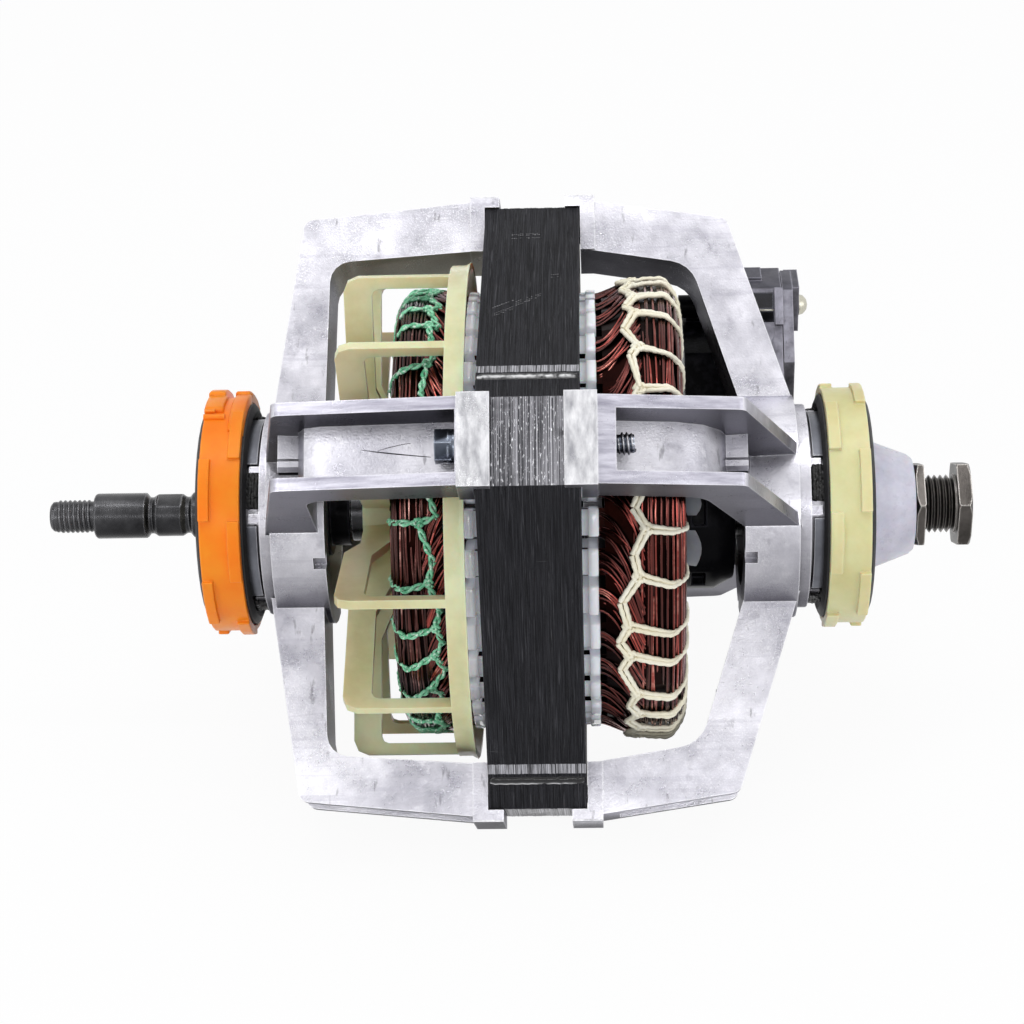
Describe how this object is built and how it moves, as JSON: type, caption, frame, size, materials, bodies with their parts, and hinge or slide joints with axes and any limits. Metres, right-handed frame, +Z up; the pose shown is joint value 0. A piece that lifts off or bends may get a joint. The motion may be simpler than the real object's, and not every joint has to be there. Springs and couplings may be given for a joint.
{
  "type": "dryer motor",
  "caption": "Open-frame electric motor with cast end frames, a stator between channel arms, cushion rings, a cage fan, a centrifugal switch, a belt pulley and a threaded shaft.",
  "frame": {"origin": "bottom centre of the bounding box, on the surface that the motor stands on", "axes": "+X along the shaft, from the threaded blower end to the pulley end; the switch is on the +Y side; +Z up"},
  "size_m": [0.256, 0.1412, 0.1411],
  "materials": {
    "cast_aluminium": "as die-cast, with sanded and machined places",
    "lamination_steel": "black varnish over stacked laminations",
    "bolt_steel": "plain steel",
    "copper": "dark red enamelled wire",
    "orange_plastic": "moulded, satin",
    "cream_plastic": "moulded, satin, pale yellow",
    "clear_nylon": "milky white nylon",
    "black_rubber": "matt",
    "sleeve_steel": "plain rolled steel",
    "shaft_steel": "black oxide, oiled",
    "pulley_steel": "dark turned steel",
    "bearing_bronze": "sintered bronze",
    "felt": "oiled felt",
    "black_plastic": "black moulding, low gloss",
    "zinc_steel": "zinc plated, faintly yellow",
    "brass": "stamped brass"
  },
  "bodies": {
    "frame": {"blower_end_frame": "cast_aluminium", "pulley_end_frame": "cast_aluminium", "stator_core": "lamination_steel", "stator_winding": "copper", "through_bolt_1": "bolt_steel", "through_bolt_2": "bolt_steel", "through_bolt_3": "bolt_steel", "through_bolt_4": "bolt_steel", "blower_ring_sleeve": "sleeve_steel", "blower_ring_cushion": "black_rubber", "blower_ring_band": "orange_plastic", "blower_bearing": "bearing_bronze", "blower_bearing_retainer": "zinc_steel", "blower_thrust_washer": "black_plastic", "blower_oil_wick": "felt", "pulley_ring_sleeve": "sleeve_steel", "pulley_ring_cushion": "black_rubber", "pulley_ring_band": "cream_plastic", "pulley_bearing": "bearing_bronze", "pulley_bearing_retainer": "zinc_steel", "pulley_thrust_washer": "black_plastic", "pulley_oil_wick": "felt", "blower_end_cap": "zinc_steel", "pulley_hub_cone": "clear_nylon", "switch_housing": "black_plastic", "terminal_block": "black_plastic", "switch_cover": "black_plastic", "lever_pin": "bolt_steel", "terminal_1": "brass", "terminal_2": "brass", "terminal_3": "brass", "terminal_4": "brass", "terminal_5": "brass", "switch_screw_upper": "zinc_steel", "switch_screw_lower": "zinc_steel"},
    "rotor": {"rotor_shaft": "shaft_steel", "rotor_core": "lamination_steel", "rotor_cage": "cast_aluminium", "cage_fan": "cream_plastic", "fan_collar": "black_plastic", "drive_pulley": "pulley_steel", "governor_base": "zinc_steel", "weight_pin_1": "bolt_steel", "weight_pin_2": "bolt_steel", "weight_spring_1": "bolt_steel", "weight_spring_2": "bolt_steel"},
    "spool": {"governor_spool": "black_plastic"},
    "weight_a": {"governor_weight_1": "zinc_steel"},
    "weight_b": {"governor_weight_2": "zinc_steel"},
    "lever": {"switch_lever": "brass"}
  },
  "joints": [
    {"name": "rotor_spin", "type": "hinge", "parent": "frame", "child": "rotor", "pos_m": [0.0082, 0, 0.07057], "axis": [1, 0, 0], "continuous": true},
    {"name": "spool_slide", "type": "slide", "parent": "rotor", "child": "spool", "axis": [-1, 0, 0], "range_m": [0, 0.004], "stiffness_N_per_m": 1500, "springref_m": -0.003},
    {"name": "weight_a_swing", "type": "hinge", "parent": "rotor", "child": "weight_a", "pos_m": [0.0338, 0, 0.08757], "axis": [0, -1, 0], "range_deg": [0, 20]},
    {"name": "weight_b_swing", "type": "hinge", "parent": "rotor", "child": "weight_b", "pos_m": [0.0338, 0, 0.05357], "axis": [0, 1, 0], "range_deg": [0, 20]},
    {"name": "lever_swing", "type": "hinge", "parent": "frame", "child": "lever", "pos_m": [0.0616, 0.036, 0.07057], "axis": [0, 0, -1], "range_deg": [0, 10]}
  ],
  "couplings": [
    {"joint": "weight_a_swing", "follows": "spool_slide", "rad_per_m": 82.5},
    {"joint": "weight_b_swing", "follows": "spool_slide", "rad_per_m": 82.5},
    {"joint": "lever_swing", "follows": "spool_slide", "rad_per_m": 40}
  ]
}
